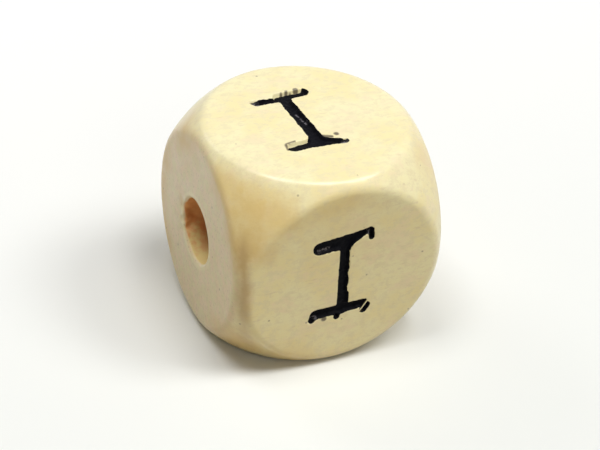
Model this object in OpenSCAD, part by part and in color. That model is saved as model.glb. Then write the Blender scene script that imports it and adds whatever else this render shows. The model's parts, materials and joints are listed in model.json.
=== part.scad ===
// Wooden letter bead: a small pale wood cube with its edges and corners rounded
// to a ball, drilled from side to side for a cord, with the same upright mark
// stamped into each of the four faces around the bore and filled with black ink.
//
// Frame: millimetres, +Z up. The origin is the middle of the face the bead
// stands on. The bore runs along X and the front mark faces -Y.

/* [Cube] */
// Distance between opposite flats
cube_side = 10; // [8:0.5:20]
// Depth that the rounding takes off the middle of each edge
edge_cut = 0.3; // [0.26:0.02:1]
// Radius of the soft rim where a flat runs into the rounding
rim_r = 0.6; // [0.2:0.05:0.7]

/* [Bore] */
// Diameter of the hole for the cord
bore_d = 3; // [1.5:0.1:5]
// Radius that breaks the edge of each mouth of the bore
lip_r = 0.15; // [0.05:0.05:0.4]

/* [Stamped mark] */
// Height of the mark over its two bars
mark_h = 4.55; // [3:0.05:6]
// Width of the bars over their round ends
mark_w = 3; // [2:0.05:4.5]
// Thickness of each bar
bar_t = 0.56; // [0.3:0.02:0.8]
// Width of the stem between the bars
stem_w = 0.52; // [0.3:0.02:0.9]
// Radius of the hollow corners between the stem and the bars
bracket_r = 0.35; // [0.1:0.05:0.7]
// Depth of the stamped recess
mark_depth = 0.22; // [0.1:0.02:0.5]
// Turn of the front mark, as the stamp struck it
front_turn = 2.5; // [-6:0.5:6]
// Turn of the top mark
top_turn = 1.5; // [-6:0.5:6]
// Sideways slip of the top mark from the middle of its face
top_slip = -0.36; // [-0.8:0.02:0.8]
// How far the top mark sits behind the middle of its face
top_rise = 0.16; // [-0.6:0.02:0.6]

/* [Ink] */
// Thickness of the ink on the floor of the recess
ink_t = 0.06; // [0.02:0.02:0.08]
// Gap between the ink and the walls of the recess
ink_gap = 0.02; // [0.01:0.01:0.05]

/* [Hidden] */
$fn = 96;
half = cube_side / 2;
ball_r = half * sqrt(2) - edge_cut;
// Centre of the rim's arc in a facing cut's section. The arc runs a hair past the
// ball, so that the two cross cleanly and leave no sliver between them
crossing = 0.001;
rim_z = half - rim_r;
rim_x = sqrt((ball_r - rim_r + crossing) ^ 2 - rim_z ^ 2);
bore_r = bore_d / 2;
// The hollow corners, kept within the bars' overhang and the stem's free height
hollow_r = min(bracket_r, (mark_w - bar_t - stem_w) / 2, (mark_h - 2 * bar_t) / 3);
// How far a cutter runs past the surface that it opens
overrun = 1;
// Each mark: its face, its own turn, and its slip sideways and up the face
FRONT = ["front", front_turn, [0, 0]];
TOP = ["top", top_turn, [top_slip, top_rise]];
BACK = ["back", 0, [0, 0]];
BOTTOM = ["bottom", 0, [0, 0]];
MARKS = [FRONT, TOP, BACK, BOTTOM];

// What one facing cut takes off the top of the ball: all that is above the flat,
// and outside the rim's arc, out to a flank that leaves the ball squarely
module facing() {
    rotate_extrude() difference() {
        polygon([
            [0, half],
            [rim_x, half],
            [rim_x, rim_z],
            [2 * rim_x, 2 * rim_z],
            [0, 2 * rim_z]
        ]);
        translate([rim_x, rim_z]) circle(rim_r);
    }
}

// The cube with rounded edges and corners is a ball with six flats
module rounded_cube() {
    difference() {
        sphere(ball_r);
        for (turn = [0, 90, 180, 270]) rotate([turn, 0, 0]) facing();
        for (turn = [90, 270]) rotate([0, turn, 0]) facing();
    }
}

// Half of the drill's path along X, from the middle out through one mouth
module half_bore() {
    rotate([0, 90, 0]) rotate_extrude() {
        square([bore_r, half + overrun]);
        translate([0, half - lip_r]) difference() {
            square([bore_r + lip_r, lip_r + overrun]);
            translate([bore_r + lip_r, 0]) circle(lip_r);
        }
    }
}

// Outline of the mark: a stem with a round-ended bar across each end, and hollow
// corners between them. inset draws every edge in by the same amount
module mark_outline(inset = 0) {
    stroke = bar_t - 2 * inset;
    bar_y = (mark_h - bar_t) / 2;
    bar_reach = (mark_w - bar_t) / 2;
    for (side = [-1, 1]) translate([0, side * bar_y]) {
        square([2 * bar_reach, stroke], center = true);
        for (end = [-1, 1]) translate([end * bar_reach, 0]) circle(d = stroke);
    }
    difference() {
        square([stem_w + 2 * hollow_r, 2 * bar_y], center = true);
        for (flip = [0, 1]) mirror([flip, 0]) stem_side(inset);
    }
}

// Clear space to the right of the stem, up to the bars, with round corners
module stem_side(inset) {
    corner_r = hollow_r + inset;
    reach_y = mark_h / 2 - bar_t + inset - corner_r;
    translate([stem_w / 2 - inset + corner_r, 0]) {
        square([2 * corner_r, 2 * reach_y], center = true);
        for (side = [-1, 1]) translate([0, side * reach_y]) circle(corner_r);
    }
}

// Turn about the bore that brings the front face to the place of a named face
function face_turn(face) =
    face == "top" ? -90 : face == "back" ? 180 : face == "bottom" ? 90 : 0;

// Puts a flat drawing where a mark goes, with its own Z along the face's outward
// normal and 0 at the surface
module at_mark(mark) {
    rotate([face_turn(mark[0]), 0, 0]) translate([0, -half, 0]) rotate([90, 0, 0])
        translate(mark[2]) rotate([0, 0, mark[1]])
            children();
}

module recess(mark) {
    at_mark(mark) translate([0, 0, -mark_depth])
        linear_extrude(mark_depth + overrun) mark_outline();
}

module ink(mark) {
    color("black") translate([0, 0, half]) at_mark(mark)
        translate([0, 0, -mark_depth])
            linear_extrude(ink_t) mark_outline(inset = ink_gap);
}

module bead() {
    color("blanchedalmond") translate([0, 0, half]) difference() {
        rounded_cube();
        half_bore();
        mirror([1, 0, 0]) half_bore();
        for (mark = MARKS) recess(mark);
    }
}

bead();
ink(FRONT);  // front_ink
ink(TOP);  // top_ink
ink(BACK);  // back_ink
ink(BOTTOM);  // bottom_ink
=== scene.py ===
"""Dresses the wooden cube bead: a faced and drilled ball of pale varnished wood,
with a mark stamped into each face around the bore and black ink in it.

The modelling is in millimetres with the origin at the middle of the bead, and each
finished piece is then brought to metres and to its place in the frame."""

import json
import math

import bmesh
import bpy
from mathutils import Matrix, Vector, noise


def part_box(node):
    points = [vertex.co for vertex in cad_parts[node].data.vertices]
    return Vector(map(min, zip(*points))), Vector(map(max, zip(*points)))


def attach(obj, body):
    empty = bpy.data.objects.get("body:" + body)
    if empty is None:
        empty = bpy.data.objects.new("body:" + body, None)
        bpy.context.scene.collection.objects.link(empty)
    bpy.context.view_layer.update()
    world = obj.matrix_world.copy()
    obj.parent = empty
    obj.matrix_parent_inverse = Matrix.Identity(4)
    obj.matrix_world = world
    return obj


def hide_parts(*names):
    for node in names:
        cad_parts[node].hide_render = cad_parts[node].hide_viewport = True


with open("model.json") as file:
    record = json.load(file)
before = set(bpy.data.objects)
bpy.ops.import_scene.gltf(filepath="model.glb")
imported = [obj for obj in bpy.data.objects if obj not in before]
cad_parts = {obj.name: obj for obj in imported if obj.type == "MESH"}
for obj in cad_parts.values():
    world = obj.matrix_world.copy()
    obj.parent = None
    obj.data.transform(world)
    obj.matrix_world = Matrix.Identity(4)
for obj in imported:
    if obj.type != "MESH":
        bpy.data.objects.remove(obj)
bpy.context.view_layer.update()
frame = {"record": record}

# Driving dimensions of the bead, in millimetres
MM = 0.001
BEAD_LOW, BEAD_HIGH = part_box("bead")
SIDE = (BEAD_HIGH.z - BEAD_LOW.z) / MM
HALF = SIDE / 2
EDGE_CUT = 0.3
RIM_R = 0.6
BORE = next(mount for mount in frame["record"]["mounts"] if mount["name"] == "bore")
BORE_R = BORE["dims"]["r_mm"]
LIP_R = 0.15

# Driving dimensions of the stamped mark. WALL is how wide the slope is that climbs
# from its floor to the face
MARK_H = 4.55
MARK_W = 3.0
BAR_T = 0.56
STEM_W = 0.52
BRACKET = 0.3
MARK_DEPTH = 0.22
WALL = 0.12

# Sizes that follow from them
BALL_R = HALF * math.sqrt(2) - EDGE_CUT
RIM_Z = HALF - RIM_R
RIM_X = math.sqrt((BALL_R - RIM_R) ** 2 - RIM_Z**2)
BAR_Y = (MARK_H - BAR_T) / 2
BAR_REACH = (MARK_W - BAR_T) / 2
BEAD_MIDDLE = Vector((0, 0, HALF * MM))
TO_FRAME = Matrix.Translation(BEAD_MIDDLE) @ Matrix.Scale(MM, 4)

# The torn lip of the left mouth: where it is, as a turn from +Y towards +Z, how far to
# each side of that it keeps its full depth and where it ends, in radians, and its depth
TORN_AT = math.radians(-6)
TORN_FULL = 0.2
TORN_END = 0.65
TEAR_DEPTH = 0.3
# How rough the drill left the wall of the bore
WALL_RELIEF = 0.02

# The film of ink: how far it stands on the wood, how far it dives under it at its
# edge, how thick it is in all, and the highest it may reach
INK_SKIN = 0.03
INK_DIVE = 0.03
INK_BODY = 0.05
INK_TOP = -0.004
# Half the width over which the ink thins out at its edge, and the least that is kept
INK_FADE = 0.03
INK_LEAST = 0.12
# The sharpest fold that the ink's shading smooths over
INK_CREASE = math.radians(50)

# Fineness of the meshes
BALL_CUTS = 63
RIM_STEPS = 7
LIP_STEPS = 5
BORE_SIDES = 160
BORE_STEP = 0.16
FINE_CELL = 0.03
PLAIN_CELL = 0.042
# Rings on the flat round a mouth of the bore, by their distance from its lip
MOUTH_RINGS = (0.9, 0.7, 0.52, 0.38, 0.26, 0.17, 0.09, 0)
# Flat ring inside each rim, and flat margin round each stamped mark
FLAT_BORDER = 0.15
WINDOW_MARGIN = 0.3
# Distance within which two vertices are one place, the length of the slivers that are
# welded away where the ball is cut, and how near the cut's plane its vertices then lie
SAME_PLACE = 0.0005
SLIVER = 0.015
NEAR_CUT = 0.05

# The six faces, each as an axis and a side
FACES = [(axis, side) for axis in range(3) for side in (-1, 1)]


def smoothstep(low, high, x):
    """0 below low, 1 above high and a soft step between them."""
    t = min(1.0, max(0.0, (x - low) / (high - low)))
    return t * t * (3 - 2 * t)


def deselect_all():
    """Leaves nothing selected, in object mode."""
    for obj in bpy.context.selected_objects:
        obj.select_set(False)


def make_active(obj):
    """Selects one object alone and makes it the active one."""
    deselect_all()
    obj.select_set(True)
    bpy.context.view_layer.objects.active = obj


def apply_modifier(obj, kind, **settings):
    """Adds a modifier, sets it and applies it."""
    make_active(obj)
    modifier = obj.modifiers.new(kind.lower(), kind)
    for name, value in settings.items():
        setattr(modifier, name, value)
    bpy.ops.object.modifier_apply(modifier=modifier.name)


def select_in_edit_mode(obj, chooses_edge):
    """Selects the edges for which chooses_edge(edge) is true, in edit mode."""
    bpy.ops.mesh.select_all(action="DESELECT")
    bpy.ops.mesh.select_mode(type="EDGE")
    mesh = bmesh.from_edit_mesh(obj.data)
    for edge in mesh.edges:
        if chooses_edge(edge):
            edge.select_set(True)
    bmesh.update_edit_mesh(obj.data)


def open_edge_at(axis, height):
    """Test for an open edge that lies in the plane across an axis at a height."""

    def chooses(edge):
        return edge.is_boundary and all(
            abs(vertex.co[axis] - height) < SAME_PLACE for vertex in edge.verts
        )

    return chooses


def finish_piece(obj, name, material):
    """Brings a modelled piece to metres and to its place, with its name and material."""
    obj.data.transform(TO_FRAME)
    obj.name = name
    obj.data.name = name
    obj.data.materials.clear()
    obj.data.materials.append(material)
    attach(obj, "root")


# The ball and its rims


def ball_with_rims():
    """The ball's skin with its six rims: a cube cast to a ball, less six caps."""
    bpy.ops.mesh.primitive_cube_add(size=SIDE)
    ball = bpy.context.object
    bpy.ops.object.mode_set(mode="EDIT")
    bpy.ops.mesh.subdivide(number_cuts=BALL_CUTS)
    bpy.ops.object.mode_set(mode="OBJECT")
    apply_modifier(
        ball, "CAST", cast_type="SPHERE", factor=1, use_radius_as_size=False, size=BALL_R
    )
    cap_z = RIM_Z * BALL_R / (BALL_R - RIM_R)
    bpy.ops.object.mode_set(mode="EDIT")
    for axis, side in FACES:
        outward = Vector((0, 0, 0))
        outward[axis] = side
        bpy.ops.mesh.select_all(action="SELECT")
        bpy.ops.mesh.bisect(
            plane_co=outward * cap_z,
            plane_no=outward,
            clear_outer=True,
            threshold=SAME_PLACE / 10,
        )
    bpy.ops.mesh.select_all(action="SELECT")
    bpy.ops.mesh.remove_doubles(threshold=SLIVER)
    for axis, side in FACES:
        true_up_cut(ball, axis, side, cap_z)
        roll_rim(ball, axis, side, cap_z)
    bpy.ops.object.mode_set(mode="OBJECT")
    return ball


def true_up_cut(ball, axis, side, cap_z):
    """Sets the open vertices round one cut exactly on its circle."""
    cut_r = math.sqrt(BALL_R**2 - cap_z**2)
    mesh = bmesh.from_edit_mesh(ball.data)
    for vertex in mesh.verts:
        if vertex.is_boundary and abs(vertex.co[axis] - side * cap_z) < NEAR_CUT:
            vertex.co[axis] = 0
            vertex.co *= cut_r / vertex.co.length
            vertex.co[axis] = side * cap_z
    bmesh.update_edit_mesh(ball.data)


def roll_rim(ball, axis, side, cap_z):
    """Extrudes the edge of one cut along the rim's arc and on to the flat's border."""
    select_in_edit_mode(ball, open_edge_at(axis, side * cap_z))
    leave = math.acos(RIM_Z / (BALL_R - RIM_R))
    height = cap_z
    radius = cap_z * math.tan(leave)
    stops = []
    for step in range(1, RIM_STEPS + 1):
        angle = leave * (1 - step / RIM_STEPS)
        stops.append((RIM_Z + RIM_R * math.cos(angle), RIM_X + RIM_R * math.sin(angle)))
    stops.append((HALF, RIM_X - FLAT_BORDER))
    for next_height, next_radius in stops:
        bpy.ops.mesh.extrude_edges_indiv()
        move = Vector((0, 0, 0))
        move[axis] = side * (next_height - height)
        grow = Vector((1, 1, 1)) * next_radius / radius
        grow[axis] = 1
        bpy.ops.transform.translate(value=move)
        bpy.ops.transform.resize(value=grow, center_override=(0, 0, 0))
        height = next_height
        radius = next_radius


# The bore


def bore_profile():
    """Points (x, r) of the drilled wall, from the flat by one mouth to the other."""
    mouth = [(HALF, BORE_R + LIP_R + away) for away in MOUTH_RINGS]
    for step in range(1, LIP_STEPS + 1):
        angle = math.radians(90 * step / LIP_STEPS)
        x = HALF - LIP_R + LIP_R * math.cos(angle)
        mouth.append((x, BORE_R + LIP_R - LIP_R * math.sin(angle)))
    wall_end = HALF - LIP_R
    steps = round(2 * wall_end / BORE_STEP)
    wall = [(wall_end - 2 * wall_end * step / steps, BORE_R) for step in range(1, steps)]
    return mouth + wall + [(-x, r) for x, r in reversed(mouth)]


def bore_lining():
    """The drilled wall with its two mouths: one profile spun about X, then torn a bit."""
    profile = bore_profile()
    mesh = bpy.data.meshes.new("bore_lining")
    mesh.from_pydata(
        [(x, 0, r) for x, r in profile],
        [(i, i + 1) for i in range(len(profile) - 1)],
        [],
    )
    lining = bpy.data.objects.new("bore_lining", mesh)
    bpy.context.scene.collection.objects.link(lining)
    make_active(lining)
    bpy.ops.object.mode_set(mode="EDIT")
    bpy.ops.mesh.select_all(action="SELECT")
    bpy.ops.mesh.spin(
        steps=BORE_SIDES, angle=2 * math.pi, center=(0, 0, 0), axis=(1, 0, 0)
    )
    bpy.ops.mesh.select_all(action="SELECT")
    bpy.ops.mesh.remove_doubles(threshold=SAME_PLACE)
    bpy.ops.object.mode_set(mode="OBJECT")
    tear_left_mouth(lining)
    return lining


def tear_left_mouth(lining):
    """Breaks the left lip where the drill tore the grain, and roughens the wall."""
    for vertex in lining.data.vertices:
        x, y, z = vertex.co
        radius = math.hypot(y, z)
        off_wall = radius - BORE_R
        angle = math.atan2(z, y)
        # The tear fades round the mouth, down into the bore and out on to the flat
        share = 1 - smoothstep(TORN_FULL, TORN_END, abs(angle - TORN_AT))
        share *= smoothstep(HALF - 1.3, HALF - 0.1, -x)
        share *= 1 - smoothstep(0.12, 0.6, off_wall)
        ragged = noise.noise(Vector((angle * 2.6, -x * 1.1, -7.3)))
        ragged += 0.6 * noise.noise(Vector((angle * 5.5, -x * 2.4, -3.1)))
        chip = share * TEAR_DEPTH * max(0.0, 1.2 * ragged + 0.5)
        relief = WALL_RELIEF * noise.noise(Vector((angle * 3, x * 0.6, 1.7)))
        relief *= 1 - smoothstep(0.12, 0.3, off_wall)
        grown = radius + chip + relief
        vertex.co.y *= grown / radius
        vertex.co.z *= grown / radius
        vertex.co.x += 0.5 * chip * smoothstep(HALF - 0.2, HALF, -x)


# The stamped marks


def to_stroke(point, start, end, start_r, end_r):
    """Distance from a point to the outline of a round-ended stroke, inside below 0."""
    along = end - start
    share = 0.0
    if along.length_squared > 0:
        share = max(0.0, min(1.0, (point - start).dot(along) / along.length_squared))
    return (point - start - along * share).length - start_r - (end_r - start_r) * share


def soft_min(a, b, reach):
    """The smaller of two distances, with a hollow corner where they are alike."""
    near = max(reach - abs(a - b), 0) / reach
    return min(a, b) - near * near * reach / 4


def to_outline(point, strokes, reach):
    """Distance from a point to the outline of joined strokes, inside below 0."""
    distance = to_stroke(point, *strokes[0])
    for stroke in strokes[1:]:
        distance = soft_min(distance, to_stroke(point, *stroke), reach)
    return distance


def stroke(x0, y0, x1, y1, start_r, end_r=None):
    """A stroke on a mark, tapered if its two ends have their own radius."""
    return Vector((x0, y0)), Vector((x1, y1)), start_r, start_r if end_r is None else end_r


def dot(x, y, radius):
    """A round spot on a mark."""
    return stroke(x, y, x, y, radius)


def wobble(point, seed, size, height):
    """Smooth seeded noise over a face, of a feature size and a height."""
    return height * noise.noise(Vector((point.x / size, point.y / size, seed)))


WHOLE_STAMP = [
    stroke(0, -BAR_Y, 0, BAR_Y, STEM_W / 2),
    stroke(-BAR_REACH, BAR_Y, BAR_REACH, BAR_Y, BAR_T / 2),
    stroke(-BAR_REACH, -BAR_Y, BAR_REACH, -BAR_Y, BAR_T / 2),
]


class Mark:
    """One stamped mark: where the stamp fell, what it pressed and where ink lies.

    stamp and ink are strokes in millimetres from the mark's middle, and so are
    unstruck, thin and stained: bare gaps, thin ink painted grey as a reflection, and ink
    that crept into the wood.
    With inked_floor, ink lies on the floor of the whole stamp as well."""

    def __init__(self, name, quarter, turn, slip, seed, cell):
        self.name = name
        self.seed = seed
        self.cell = cell
        self.stamp = WHOLE_STAMP
        self.ink = WHOLE_STAMP
        self.inked_floor = False
        self.bracket = BRACKET
        self.unstruck = []
        self.thin = []
        self.stained = []
        self.place = (
            Matrix.Rotation(math.radians(-90 * quarter), 4, "X")
            @ Matrix.Translation((0, -HALF, 0))
            @ Matrix.Rotation(math.radians(90), 4, "X")
            @ Matrix.Translation((*slip, 0))
            @ Matrix.Rotation(math.radians(turn), 4, "Z")
        )

    def without_gaps(self, point, distance):
        """The distance to an outline once the mark's bare gaps are taken out of it."""
        for gap in self.unstruck:
            distance = max(distance, -to_stroke(point, *gap))
        return distance

    def struck(self, point):
        """Distance to the edge of what the stamp pressed, inside below 0."""
        distance = to_outline(point, self.stamp, self.bracket)
        distance += wobble(point, self.seed, 0.4, 0.03)
        distance += wobble(point, self.seed + 5, 0.12, 0.022)
        return self.without_gaps(point, distance)

    def depth(self, point):
        """How deep the stamp went at a point of the face."""
        floor = MARK_DEPTH + wobble(point, self.seed + 9, 0.2, 0.025)
        return floor * (1 - smoothstep(-WALL, 0.01, self.struck(point)))

    def cover(self, point):
        """How much ink a point of the face holds, from 0 to 1."""
        distance = to_outline(point, self.ink, self.bracket)
        distance += wobble(point, self.seed + 13, 0.25, 0.02)
        distance += wobble(point, self.seed + 17, 0.1, 0.01)
        distance = self.without_gaps(point, distance)
        if self.inked_floor:
            climb = wobble(point, self.seed + 25, 0.2, 0.016)
            distance = min(distance, self.struck(point) + WALL * 0.75 + climb)
        return 1 - smoothstep(-INK_FADE, INK_FADE, distance)

    def thin_glare(self, point):
        """How thin and greasy the ink is at a point of the face, from 0 to 1, which paints it
        grey as a reflection.
        """
        thin_glare = 0.0
        for spot in self.thin:
            near = to_stroke(point, *spot)
            thin_glare = max(thin_glare, 1 - smoothstep(-0.05, 0.05, near))
        return thin_glare

    def stain(self, point):
        """How much thinned ink has crept into the wood at a point, from 0 to 1."""
        stain = 0.0
        for spot in self.stained:
            near = to_stroke(point, *spot) + wobble(point, self.seed + 33, 0.1, 0.015)
            stain = max(stain, 1 - smoothstep(-0.03, 0.05, near))
        return stain


FRONT = Mark("front_ink", 0, 2.5, (0, 0), 11, FINE_CELL)
FRONT.bracket = 0.1
FRONT.stamp = [
    # The stem
    stroke(0, -1.9, 0, 1.9, 0.24),
    # The upper bar, which rises to a hooked right end
    stroke(-1.17, 1.87, 0, 1.93, 0.35, 0.38),
    stroke(0, 1.93, 1.14, 2.31, 0.37, 0.14),
    stroke(1.21, 2.24, 1.25, 1.87, 0.16, 0.14),
    # Swellings down the right side of the stem and under the upper bar
    stroke(0.1, 1.35, 0.34, 1.82, 0.1),
    stroke(0.14, 0.78, 0.16, 0.48, 0.11),
    stroke(0.15, -0.22, 0.13, -0.42, 0.12),
    stroke(0.2, -1.02, 0.15, -1.5, 0.14, 0.17),
    stroke(0.4, 1.9, 0.8, 2.09, 0.1, 0.08),
    # The lower bar, which droops at the left and is broken at the right
    stroke(-1.22, -1.83, 0, -1.83, 0.28, 0.27),
    stroke(-1.31, -1.9, -1.42, -2.1, 0.23, 0.18),
    stroke(0, -1.83, 0.95, -1.82, 0.27, 0.24),
    stroke(0.95, -1.78, 1.15, -1.7, 0.18, 0.1),
    stroke(1.24, -1.98, 1.1, -2.2, 0.2, 0.19),
    dot(-0.2, -2.23, 0.16),
]
FRONT.ink = FRONT.stamp
FRONT.unstruck = [
    stroke(1.3, -1.7, 0.94, -2.22, 0.03),
]
# Thin greasy ink, painted grey as a reflection
FRONT.thin = [
    stroke(-1.2, 1.66, -0.72, 1.7, 0.05),
    dot(1.12, 2.12, 0.07),
    stroke(-1.36, -2.08, -1.2, -2.04, 0.04),
]
FRONT.stained = [
    dot(-0.82, -2.18, 0.12),
]

TOP = Mark("top_ink", 1, 1.5, (-0.36, 0.16), 23, FINE_CELL)
TOP.bracket = 0.16
TOP.stamp = [
    # The stem
    stroke(0.1, 1.8, 0.2, -1.8, 0.29, 0.31),
    # The far bar
    stroke(-1.2, 1.77, 0, 1.77, 0.21, 0.24),
    stroke(-1.2, 1.8, -1.37, 1.89, 0.2, 0.13),
    stroke(0, 1.92, 1.14, 1.99, 0.34, 0.3),
    # The near bar
    stroke(-1.05, -1.87, 0, -1.8, 0.33, 0.35),
    stroke(0, -1.8, 1.28, -2.1, 0.35, 0.19),
]
TOP.ink = [
    # Up the walls of the stem
    stroke(0.1, 1.75, 0.2, -1.85, 0.34, 0.36),
    # Up the walls of the far bar at its left and at its right end
    stroke(-1.3, 1.78, 0, 1.75, 0.2, 0.24),
    stroke(1.36, 1.98, 1.3, 2.15, 0.13),
    # Up the walls of the near bar at its right, and in its corners with the stem
    stroke(0.15, -1.35, 0.5, -1.78, 0.2, 0.16),
    stroke(0.1, -1.82, 1.34, -2.1, 0.33, 0.15),
    stroke(-0.1, -1.62, -0.32, -1.85, 0.14),
]
TOP.inked_floor = True
# Thin greasy ink, painted grey as a reflection
TOP.thin = [
    stroke(-1.32, 1.9, -1.1, 1.86, 0.05),
    stroke(0.2, 0.62, 0.33, -0.2, 0.02),
    dot(0.34, -0.12, 0.05),
    stroke(1.2, -2.05, 1.38, -2.06, 0.06),
]
TOP.stained = [
    stroke(0.12, 1.98, 0.2, 2.2, 0.055),
    stroke(0.36, 1.98, 0.46, 2.24, 0.07),
    dot(0.63, 2.14, 0.07),
    dot(0.92, 2.24, 0.12),
    dot(1.14, -1.53, 0.11),
    stroke(0.5, -1.5, 0.85, -1.66, 0.08),
    stroke(-1.38, -2.0, -1.33, -1.64, 0.06),
    stroke(-1.28, -1.56, -0.85, -1.49, 0.035),
]
BACK = Mark("back_ink", 2, 0, (0, 0), 37, PLAIN_CELL)
BOTTOM = Mark("bottom_ink", 3, 0, (0, 0), 51, PLAIN_CELL)
MARKS = [FRONT, TOP, BACK, BOTTOM]


def window(mark):
    """Fine grid over the part of a face that the stamp touched, stamped and stained."""
    width = MARK_W + 2 * WINDOW_MARGIN
    height = MARK_H + 2 * WINDOW_MARGIN
    bpy.ops.mesh.primitive_grid_add(
        x_subdivisions=round(width / mark.cell),
        y_subdivisions=round(height / mark.cell),
        size=1,
    )
    grid = bpy.context.object
    stain = grid.data.attributes.new("stain", "FLOAT", "POINT")
    for vertex in grid.data.vertices:
        vertex.co.x *= width
        vertex.co.y *= height
        vertex.co.z = -mark.depth(vertex.co.xy)
        stain.data[vertex.index].value = mark.stain(vertex.co.xy)
    return grid


def ink_film(grid, mark):
    """Ink on a copy of a stamped grid: a skin that dives under the wood at its edge."""
    film = grid.copy()
    film.data = grid.data.copy()
    bpy.context.scene.collection.objects.link(film)
    # How thin the ink is, which paints it grey as a reflection
    thin = film.data.attributes.new("thin", "FLOAT", "POINT")
    kept = []
    for vertex in film.data.vertices:
        cover = mark.cover(vertex.co.xy)
        thin.data[vertex.index].value = mark.thin_glare(vertex.co.xy)
        vertex.co.z = min(vertex.co.z + (INK_SKIN + INK_DIVE) * cover - INK_DIVE, INK_TOP)
        kept.append(cover > INK_LEAST)
    make_active(film)
    bpy.ops.object.mode_set(mode="EDIT")
    bpy.ops.mesh.select_mode(type="VERT")
    bpy.ops.mesh.select_all(action="DESELECT")
    mesh = bmesh.from_edit_mesh(film.data)
    for vertex, keep in zip(mesh.verts, kept):
        vertex.select_set(not keep)
    bmesh.update_edit_mesh(film.data)
    bpy.ops.mesh.delete(type="VERT")
    bpy.ops.mesh.select_all(action="SELECT")
    bpy.ops.mesh.delete_loose()
    bpy.ops.mesh.select_all(action="SELECT")
    bpy.ops.mesh.extrude_region_move(TRANSFORM_OT_translate={"value": (0, 0, -INK_BODY)})
    bpy.ops.mesh.select_all(action="SELECT")
    bpy.ops.mesh.normals_make_consistent(inside=False)
    bpy.ops.object.mode_set(mode="OBJECT")
    bpy.ops.object.shade_smooth_by_angle(angle=INK_CREASE)
    return film


def close_skin(body, parts):
    """Joins the bore and the stamped grids to the ball, and fills the flats between."""
    make_active(body)
    for part in parts:
        part.select_set(True)
    bpy.ops.object.join()
    bpy.ops.object.mode_set(mode="EDIT")
    for axis, side in FACES:
        select_in_edit_mode(body, open_edge_at(axis, side * HALF))
        bpy.ops.mesh.fill(use_beauty=True)
    bpy.ops.mesh.select_all(action="SELECT")
    bpy.ops.mesh.normals_make_consistent(inside=False)
    bpy.ops.object.mode_set(mode="OBJECT")
    bpy.ops.object.shade_smooth()


def make_bead_and_ink():
    """The wood in one closed skin, and the four films of ink."""
    body = ball_with_rims()
    parts = [bore_lining()]
    films = []
    for mark in MARKS:
        grid = window(mark)
        film = ink_film(grid, mark)
        grid.data.transform(mark.place)
        film.data.transform(mark.place)
        parts.append(grid)
        films.append(film)
    close_skin(body, parts)
    finish_piece(body, "turned_bead", varnished_wood())
    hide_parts("bead")
    ink = stamping_ink()
    for mark, film in zip(MARKS, films):
        finish_piece(film, mark.name + "_film", ink)
        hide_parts(mark.name)


# Materials


class Shade:
    """Nodes of one material, added and wired by short calls."""

    def __init__(self, name):
        self.material = bpy.data.materials.new(name)
        self.material.use_nodes = True
        self.tree = self.material.node_tree
        self.shader = self.tree.nodes["Principled BSDF"]

    def feed(self, socket, value):
        """Links or sets one input."""
        if isinstance(value, bpy.types.NodeSocket):
            self.tree.links.new(value, socket)
        else:
            socket.default_value = value

    def node(self, kind, inputs, **settings):
        """Adds a node, sets it and feeds its inputs."""
        made = self.tree.nodes.new(kind)
        for name, value in settings.items():
            setattr(made, name, value)
        for key, value in inputs.items():
            self.feed(made.inputs[key], value)
        return made

    def middle_mm(self):
        """Place on the bead in millimetres from its middle."""
        place = self.node("ShaderNodeTexCoord", {})
        scale = (1 / MM, 1 / MM, 1 / MM)
        shift = (0, 0, -HALF)
        mapping = {"Vector": place.outputs["Object"], "Scale": scale, "Location": shift}
        return self.node("ShaderNodeMapping", mapping).outputs["Vector"]

    def stretched(self, vector, x, y, z):
        """The vector scaled along each axis."""
        mapping = {"Vector": vector, "Scale": (x, y, z)}
        return self.node("ShaderNodeMapping", mapping).outputs["Vector"]

    def parts(self, vector):
        """The three coordinates of a vector."""
        split = self.node("ShaderNodeSeparateXYZ", {"Vector": vector})
        return split.outputs["X"], split.outputs["Y"], split.outputs["Z"]

    def distance(self, vector, point):
        """Distance from a vector to a point."""
        made = self.node("ShaderNodeVectorMath", {0: vector, 1: point}, operation="DISTANCE")
        return made.outputs["Value"]

    def math(self, operation, a, b=0.0):
        """One sum on two values."""
        return self.node("ShaderNodeMath", {0: a, 1: b}, operation=operation).outputs["Value"]

    def product(self, first, *others):
        """Product of several values."""
        for other in others:
            first = self.math("MULTIPLY", first, other)
        return first

    def step(self, value, low, high, out_low=0.0, out_high=1.0):
        """A soft step of a value between two limits."""
        inputs = {"Value": value, 1: low, 2: high, 3: out_low, 4: out_high}
        made = self.node("ShaderNodeMapRange", inputs, interpolation_type="SMOOTHSTEP")
        return made.outputs["Result"]

    def noise(self, vector, scale, detail, roughness=0.5):
        """Smooth noise from 0 to 1."""
        inputs = {"Vector": vector, "Scale": scale, "Detail": detail, "Roughness": roughness}
        return self.node("ShaderNodeTexNoise", inputs).outputs["Fac"]

    def scattered(self, vector, scale):
        """Distance to the nearest of many scattered points."""
        inputs = {"Vector": vector, "Scale": scale, "Randomness": 1}
        return self.node("ShaderNodeTexVoronoi", inputs).outputs["Distance"]

    def mix(self, share, a, b):
        """Mix of two colours, all the first at 0 and all the second at 1."""
        made = self.node("ShaderNodeMix", {0: share}, data_type="RGBA", blend_type="MIX")
        for key, colour in ((6, a), (7, b)):
            self.feed(made.inputs[key], (*colour, 1) if isinstance(colour, tuple) else colour)
        return made.outputs[2]

    def attribute(self, name):
        """A number held by the mesh."""
        return self.node("ShaderNodeAttribute", {}, attribute_name=name).outputs["Fac"]

    def link(self, output, socket):
        """Feeds one of the shader's own sockets."""
        self.tree.links.new(output, self.shader.inputs[socket])

    def bump(self, height, strength, distance_mm):
        """Feeds the shader's normal from a height."""
        inputs = {"Height": height, "Strength": strength, "Distance": distance_mm * MM}
        self.link(self.node("ShaderNodeBump", inputs).outputs["Normal"], "Normal")


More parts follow.
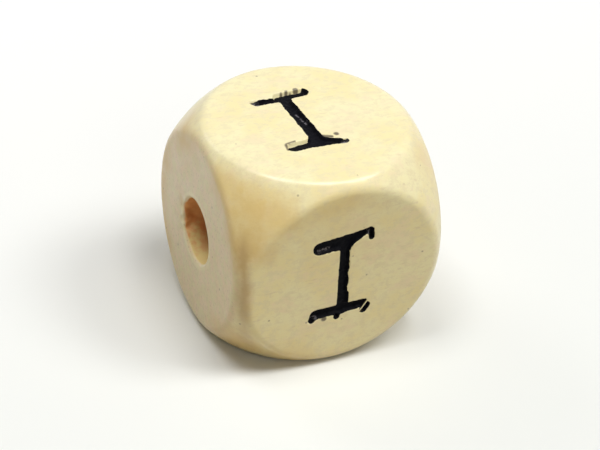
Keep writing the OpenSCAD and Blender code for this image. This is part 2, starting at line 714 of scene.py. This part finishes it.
CREAM = (0.93, 0.86, 0.52)
STRAW = (0.92, 0.81, 0.43)
BLUSH = (0.91, 0.77, 0.5)
GRAIN = (0.84, 0.75, 0.46)
FLECK = (0.72, 0.58, 0.35)
PIT = (0.22, 0.15, 0.08)
END_PINK = (0.85, 0.66, 0.42)
END_GREEN = (0.78, 0.69, 0.37)
PORE = (0.5, 0.38, 0.22)
HONEY = (0.75, 0.535, 0.182)
UMBER = (0.54, 0.35, 0.13)
# Colours of the bore: painted light on its floor, its brown wall, and painted shade deep inside
BORE_LIT_FLOOR = (0.95, 0.79, 0.34)
BORE_BROWN = (0.85, 0.43, 0.17)
BORE_SHADE = (0.58, 0.25, 0.12)
CREPT_INK = (0.08, 0.052, 0.014)
INK_BLACK = (0.003, 0.003, 0.005)
INK_SPECK = (0.03, 0.027, 0.035)
# Grey of the thin greasy ink: a painted reflection
INK_GLARE = (0.33, 0.31, 0.34)

# Where the varnish has darkened the wood, and where its colour is also painted shade: a
# place on the bead, how far it reaches and how strong it is
HONEY_AND_SHADE_SPOTS = [
    ((-5.0, -2.3, 4.1), 1.9, 0.65),
    ((-4.2, -3.7, 3.8), 2.0, 0.85),
    ((-3.2, -4.4, 3.7), 1.9, 0.7),
    ((-4.5, -4.4, 2.6), 2.1, 0.85),
    ((-5.0, 1.7, 3.5), 2.1, 0.95),
    # Along the far-left edge: the varnish's colour, made stronger as painted shade that damps its
    # shine there
    ((-4.9, 4.8, 1.6), 2.8, 1),
    ((-4.9, 4.7, -0.5), 2.7, 1),
    ((-4.8, 4.2, -2.6), 2.4, 1),
    ((-0.5, -5.0, 2.4), 3.3, 0.85),
    # On the bottom-left rounding: the varnish's colour and painted shade on the underside
    ((-4.4, -3.6, -3.8), 2.4, 0.75),
    ((-2.4, -4.7, -4.3), 2.2, 0.45),
    ((4.2, -3.1, 4.3), 1.8, 0.35),
]


def close_grain(wood, place, streaks, flecks):
    """Pale mottled wood, with the streaks and flecks of its grain."""
    mottle = wood.noise(place, 0.5, 3, 0.6)
    colour = wood.mix(wood.step(mottle, 0.36, 0.62), STRAW, CREAM)
    blush = wood.noise(wood.stretched(place, 0.6, 1, 1), 1.1, 4, 0.65)
    colour = wood.mix(wood.step(blush, 0.48, 0.68, 0, 0.8), colour, BLUSH)
    cloud = wood.noise(wood.stretched(place, 0.8, 1, 1), 2.6, 4, 0.75)
    colour = wood.mix(wood.step(cloud, 0.46, 0.62, 0, 0.75), colour, GRAIN)
    colour = wood.mix(wood.step(streaks, 0.52, 0.8, 0, 0.3), colour, GRAIN)
    return wood.mix(wood.step(flecks, 0.6, 0.74, 0, 0.35), colour, FLECK)


def end_grain(wood, place, speckle):
    """The wood where it is cut across its grain, speckled and with open pores."""
    mottle = wood.noise(wood.stretched(place, 0.2, 1, 1), 1.8, 4, 0.7)
    colour = wood.mix(wood.step(mottle, 0.42, 0.58), END_PINK, END_GREEN)
    colour = wood.mix(wood.step(speckle, 0.45, 0.65, 0, 0.6), colour, FLECK)
    pores = wood.step(wood.scattered(place, 4.5), 0.12, 0.24, 0.5, 0)
    return wood.mix(pores, colour, PORE)


def honey_and_shade_share(wood, place, z, ripple):
    """How far the varnish has turned a place on the rounded wood to honey, with painted shade in
    the same colour on the underside and along the far-left edge.
    """
    uneven = wood.step(ripple, 0.3, 0.7, -0.3, 0.3)
    honey = 0.0
    for centre, size, strength in HONEY_AND_SHADE_SPOTS:
        away = wood.math("ADD", wood.distance(place, centre), uneven)
        spot = wood.step(away, 0.1 * size, size, strength, 0)
        honey = wood.math("MAXIMUM", honey, spot)
    off_flats = wood.step(wood.distance(place, (0, 0, 0)), 6.0, 6.5, 0.25, 1)
    below_top = wood.step(z, HALF - 0.65, HALF - 0.05, 1, 0.15)
    return wood.product(honey, off_flats, below_top)


def streak_share(wood, x, y, z, ripple):
    """How dark the brown streak is that runs down the left front edge."""
    across_edge = wood.product(wood.math("SUBTRACT", x, y), math.sqrt(0.5))
    off_line = wood.math("SUBTRACT", across_edge, wood.step(z, 0.3, 2.6, 0.2, -0.2))
    uneven = wood.step(ripple, 0.3, 0.7, -0.09, 0.09)
    away = wood.math("ADD", wood.math("ABSOLUTE", off_line), uneven)
    near_line = wood.step(away, 0, 0.52, 1, 0)
    below_corner = wood.step(z, 2.0, 3.2, 1, 0)
    on_edge = wood.step(wood.math("ADD", x, y), -8.2, -7.5, 1, 0)
    strength = wood.step(z, -3.4, 0.6, 0.25, 0.78)
    return wood.product(near_line, below_corner, on_edge, strength)


def bore_wall(wood, place, z, from_middle):
    """The drilled wall: brown, with painted light making it paler along its floor and painted
    shade making it darkest deep inside.
    """
    uneven = wood.step(wood.noise(place, 1.3, 4, 0.6), 0.3, 0.7, -0.4, 0.4)
    # Painted light: paler along the floor of the bore, where light falls in
    above_floor = wood.step(wood.math("ADD", z, uneven), -1.4, -0.65)
    colour = wood.mix(above_floor, BORE_LIT_FLOOR, BORE_BROWN)
    # Painted shade: darkest deep inside the bore
    deep = wood.step(from_middle, HALF - 1.6, HALF - 0.7, 1, 0)
    return wood.mix(deep, colour, BORE_SHADE)


def varnished_wood():
    """Pale close-grained wood under a thin clear varnish, with its grain along X."""
    wood = Shade("varnished_wood")
    place = wood.middle_mm()
    x, y, z = wood.parts(place)
    from_middle = wood.math("ABSOLUTE", x)
    from_axis = wood.distance(wood.stretched(place, 0, 1, 1), (0, 0, 0))
    off_wall = wood.math("SUBTRACT", from_axis, BORE_R)
    streaks = wood.noise(wood.stretched(place, 0.1, 1, 1), 2.6, 5, 0.65)
    flecks = wood.noise(wood.stretched(place, 0.2, 1, 1), 8, 2)
    speckle = wood.noise(place, 5.5, 3, 0.6)
    ripple = wood.noise(place, 0.9, 4, 0.6)

    colour = close_grain(wood, place, streaks, flecks)
    on_end = wood.step(from_middle, HALF - 0.28, HALF - 0.02, 0, 0.8)
    colour = wood.mix(on_end, colour, end_grain(wood, place, speckle))
    # Honey of the varnish, with painted shade on the underside and the far-left edge
    colour = wood.mix(honey_and_shade_share(wood, place, z, ripple), colour, HONEY)
    colour = wood.mix(streak_share(wood, x, y, z, ripple), colour, UMBER)
    pits = wood.step(wood.scattered(place, 0.9), 0.035, 0.06, 0.5, 0)
    colour = wood.mix(pits, colour, PIT)

    within_mouth = wood.step(off_wall, 0.45, 0.6, 1, 0)
    in_bore = wood.product(within_mouth, wood.step(from_middle, HALF - 0.14, HALF - 0.04, 1, 0))
    colour = wood.mix(in_bore, colour, bore_wall(wood, place, z, from_middle))
    # Painted highlight: the rounded lip of each mouth is painted pale where it would catch the
    # light
    lip_highlight_ring = wood.product(wood.step(off_wall, 0.05, 0.16), wood.step(off_wall, 0.22, 0.4, 1, 0))
    painted_lip_highlight = wood.product(lip_highlight_ring, wood.step(from_middle, HALF - 0.1, HALF - 0.02, 0, 0.5))
    colour = wood.mix(painted_lip_highlight, colour, CREAM)
    colour = wood.mix(wood.product(wood.attribute("stain"), 0.95), colour, CREPT_INK)
    wood.link(colour, "Base Color")

    varnish = wood.step(wood.noise(place, 1.2, 3), 0.3, 0.7, 0.34, 0.46)
    wood.link(wood.math("MAXIMUM", varnish, wood.product(in_bore, 0.7)), "Roughness")
    wood.link(wood.step(in_bore, 0, 1, 0.5, 0), "Coat Weight")
    wood.shader.inputs["Coat Roughness"].default_value = 0.22
    relief = wood.math("ADD", wood.product(streaks, 0.5), wood.product(flecks, -0.6))
    relief = wood.math("ADD", relief, wood.product(speckle, 0.35))
    wood.bump(relief, 0.35, 0.03)
    return wood.material


def stamping_ink():
    """Black stamping ink, dull, with dry specks, and thin greasy spots painted grey as a
    reflection.
    """
    ink = Shade("stamping_ink")
    grit = ink.noise(ink.middle_mm(), 9, 4, 0.75)
    colour = ink.mix(ink.step(grit, 0.62, 0.8), INK_BLACK, INK_SPECK)
    # Painted reflection: the thin greasy spots are lightened to grey
    glare_spots = ink.product(ink.attribute("thin"), ink.step(grit, 0.4, 0.6))
    ink.link(ink.mix(glare_spots, colour, INK_GLARE), "Base Color")
    ink.link(ink.step(grit, 0.4, 0.7, 0.6, 0.35), "Roughness")
    ink.shader.inputs["Specular IOR Level"].default_value = 0.05
    ink.bump(grit, 0.5, 0.03)
    return ink.material


# The stage

# How strongly the room lights the bead, where 1 is white
ROOM_LIGHT = 0.11
# The floor as it is seen, near and far, and where the one ends and the other starts, in
# millimetres behind the bead's middle: painted light, darker near the bead and brighter far
# behind it
FLOOR_NEAR = (0.875, 0.895, 0.875)
FLOOR_FAR = (1, 1, 1)
NEAR_END = -12
FAR_START = 40
# The floor in the light that it throws back up at the bead
FLOOR_BOUNCE = (0.5, 0.43, 0.29)

# Each soft lamp: its angle round the bead from the front towards the right and its angle
# above the floor in degrees, its distance and size in metres, and its power in watts
LAMP_COLOUR = (1, 0.99, 0.97)
LAMPS = {
    "top_light": (30, 75, 0.50, 0.16, 0.84),
    "right_light": (60, 55, 0.60, 0.20, 1.27),
    "left_light": (-90, 75, 0.60, 0.20, 1.1),
    "back_light": (-150, 35, 0.60, 0.20, 0.36),
    "front_light": (0, 35, 0.60, 0.20, 0.17),
}

# The camera, from a fit of the bead's outline: its angles as for a lamp and its roll in
# degrees, and, in sides of the cube, how far away it is and how far to the right and up
# the bead's middle lies in the frame
CAMERA_AZIMUTH = -27.05
CAMERA_ELEVATION = 36.75
CAMERA_ROLL = 5.76
CAMERA_DISTANCE = 8.0
BEAD_RIGHT = -0.0102
BEAD_UP = 0.062
# Its focal length and the frame's width in pixels, and its sensor in millimetres
FOCAL_PX = 1752
FRAME_PX = 600
SENSOR_MM = 36


def direction(azimuth, elevation):
    """Direction from the bead at an angle round it and an angle above the floor."""
    round_bead = math.radians(azimuth)
    above = math.radians(elevation)
    level = Vector((math.sin(round_bead), -math.cos(round_bead), 0))
    return level * math.cos(above) + Vector((0, 0, math.sin(above)))


def seen_share(tree):
    """1 on the rays that show a surface: from the camera, in a shine or through glass."""
    path = tree.nodes.new("ShaderNodeLightPath").outputs
    share = path["Is Camera Ray"]
    for kind in ("Is Glossy Ray", "Is Transmission Ray"):
        larger = tree.nodes.new("ShaderNodeMath")
        larger.operation = "MAXIMUM"
        tree.links.new(share, larger.inputs[0])
        tree.links.new(path[kind], larger.inputs[1])
        share = larger.outputs["Value"]
    return share


def pale_room():
    """World that lights the bead dimly and is white wherever it is seen."""
    world = bpy.data.worlds.new("pale_room")
    world.use_nodes = True
    tree = world.node_tree
    strength = tree.nodes.new("ShaderNodeMapRange")
    strength.inputs["To Min"].default_value = ROOM_LIGHT
    strength.inputs["To Max"].default_value = 1
    tree.links.new(seen_share(tree), strength.inputs["Value"])
    background = tree.nodes["Background"]
    background.inputs["Color"].default_value = (1, 1, 1, 1)
    tree.links.new(strength.outputs["Result"], background.inputs["Strength"])
    bpy.context.scene.world = world


def pale_floor():
    """Seamless white floor: white where it is seen, also in a shine, with painted light that
    leaves it a little darker near the bead than far behind, and a dull warm board in the
    light that it throws back up at the bead."""
    bpy.ops.mesh.primitive_plane_add(size=2)
    floor = bpy.context.object
    floor.name = "floor"
    board = Shade("white_board")
    back = board.parts(board.middle_mm())[1]
    # Painted light: the seen floor is darker on the near side and white far behind
    white = board.mix(board.step(back, NEAR_END, FAR_START), FLOOR_NEAR, FLOOR_FAR)
    board.link(board.mix(seen_share(board.tree), FLOOR_BOUNCE, white), "Base Color")
    board.shader.inputs["Roughness"].default_value = 0.9
    board.shader.inputs["Specular IOR Level"].default_value = 0.1
    floor.data.materials.append(board.material)


def studio_lights():
    """Soft square lamps turned towards the bead: overhead, at the right and high at the
    left, and weak ones that fill the shade from behind and in front."""
    for name, (azimuth, elevation, distance, size, power) in LAMPS.items():
        light = bpy.data.lights.new(name, "AREA")
        light.size = size
        light.energy = power
        light.color = LAMP_COLOUR
        lamp = bpy.data.objects.new(name, light)
        bpy.context.scene.collection.objects.link(lamp)
        towards = direction(azimuth, elevation)
        lamp.location = BEAD_MIDDLE + towards * distance
        lamp.rotation_euler = towards.to_track_quat("Z", "Y").to_euler()


def photo_camera():
    """Camera at the photograph's angle, with its lens and framing."""
    back = direction(CAMERA_AZIMUTH, CAMERA_ELEVATION)
    roll = math.radians(CAMERA_ROLL)
    level_right = Vector((0, 0, 1)).cross(back).normalized()
    level_up = back.cross(level_right)
    right = level_right * math.cos(roll) + level_up * math.sin(roll)
    up = level_up * math.cos(roll) - level_right * math.sin(roll)
    data = bpy.data.cameras.new("camera")
    data.sensor_width = SENSOR_MM
    data.lens = FOCAL_PX * SENSOR_MM / FRAME_PX
    data.clip_start = 0.01
    data.clip_end = 5
    camera = bpy.data.objects.new("camera", data)
    bpy.context.scene.collection.objects.link(camera)
    away = back * CAMERA_DISTANCE - right * BEAD_RIGHT - up * BEAD_UP
    turned = Matrix((right, up, back)).transposed().to_4x4()
    camera.matrix_world = Matrix.Translation(BEAD_MIDDLE + away * SIDE * MM) @ turned
    bpy.context.scene.camera = camera


deselect_all()
make_bead_and_ink()
pale_room()
pale_floor()
studio_lights()
photo_camera()
bpy.context.scene.view_settings.view_transform = "Standard"
